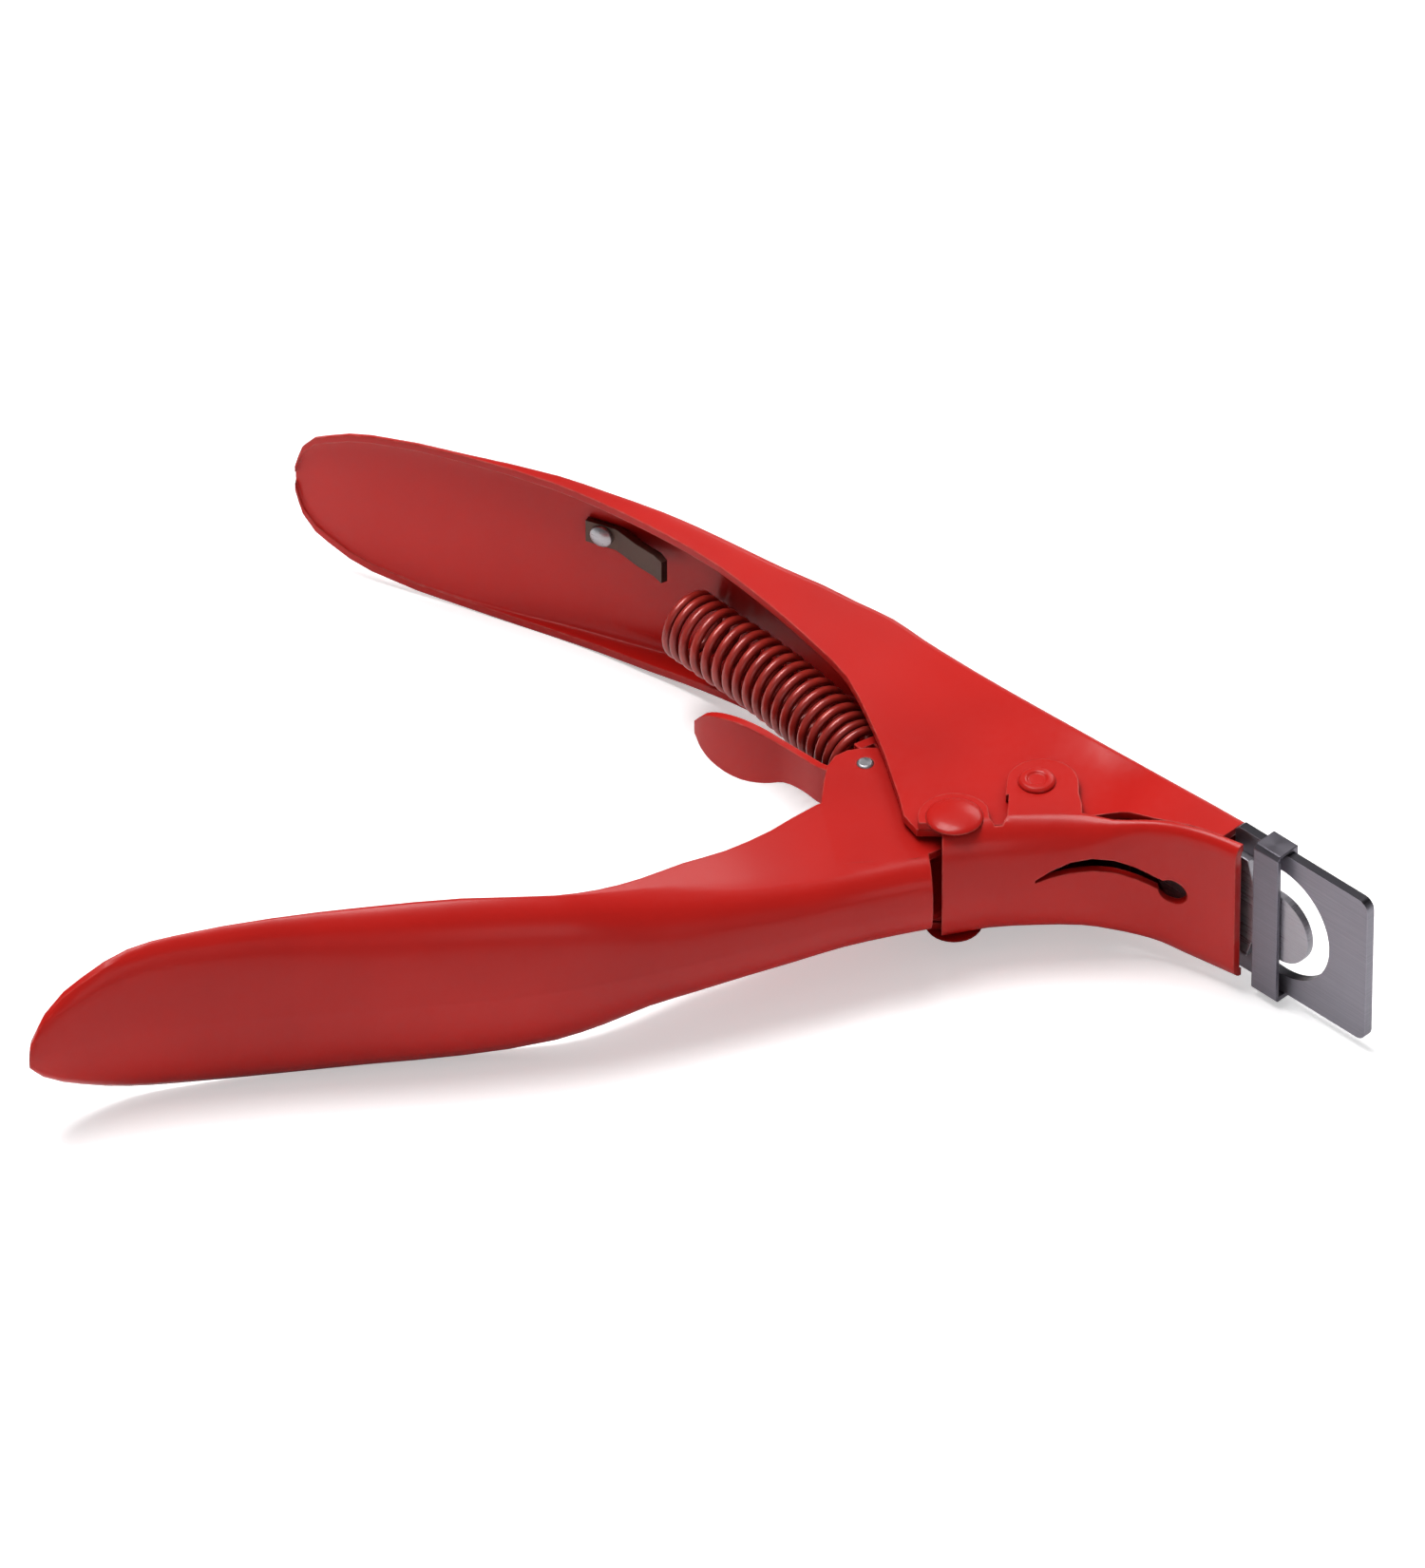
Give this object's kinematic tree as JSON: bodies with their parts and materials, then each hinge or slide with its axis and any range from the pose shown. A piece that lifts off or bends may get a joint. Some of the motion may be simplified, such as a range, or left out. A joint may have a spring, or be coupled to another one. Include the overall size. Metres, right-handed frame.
{
  "type": "guillotine nail clipper",
  "caption": "Red painted sheet-metal guillotine nail clipper: a squeezed lever handle slides a round-ended blade across a round aperture in a flat nose plate.",
  "frame": {"origin": "centre of the flat face of the lower hinge rivet head", "axes": "+Z along the hinge axis through the tool, +X towards the nose, +Y towards the upper handle's back"},
  "size_m": [0.1371, 0.0952, 0.0207],
  "materials": {
    "red_paint": "gloss",
    "steel": "brushed",
    "dark_steel": "oiled"
  },
  "bodies": {
    "frame": {"frame_handle": "red_paint", "nose_channel": "red_paint", "aperture_plate": "steel", "blade_guide_strap": "steel", "pivot_rivet": "red_paint", "channel_rivet_near": "red_paint", "channel_rivet_far": "red_paint", "plate_rivet_near": "red_paint", "plate_rivet_far": "red_paint", "spring_anchor_rivet": "steel", "spring_anchor_tab": "dark_steel", "return_spring": "red_paint"},
    "lever": {"lever_handle": "red_paint", "pivot_spacer": "steel", "drive_pin": "dark_steel", "drive_roller": "steel", "latch_pin": "steel", "latch_washer_near": "steel", "latch_washer_far": "steel", "spring_seat": "red_paint"},
    "blade": {"blade": "steel", "blade_yoke": "dark_steel", "blade_rivet_1": "steel", "blade_rivet_2": "steel"},
    "latch": {"safety_latch": "red_paint"}
  },
  "joints": [
    {"name": "lever_hinge", "type": "hinge", "parent": "frame", "child": "lever", "pos_m": [0, 0, 0.00805], "axis": [0, 0, -1], "range_deg": [0, 24], "deforming": ["return_spring"]},
    {"name": "blade_slide", "type": "slide", "parent": "frame", "child": "blade", "axis": [0.7193, -0.6947, 0], "range_m": [0, 0.0029]},
    {"name": "latch_hinge", "type": "hinge", "parent": "lever", "child": "latch", "pos_m": [-0.0176, 0.006, 0.00805], "axis": [0, 0, 1], "range_deg": [0, 39]}
  ],
  "couplings": [
    {"joint": "blade_slide", "follows": "lever_hinge", "m_per_rad": 0.006624},
    {"joint": "latch_hinge", "follows": "lever_hinge", "ratio": 1.6}
  ]
}
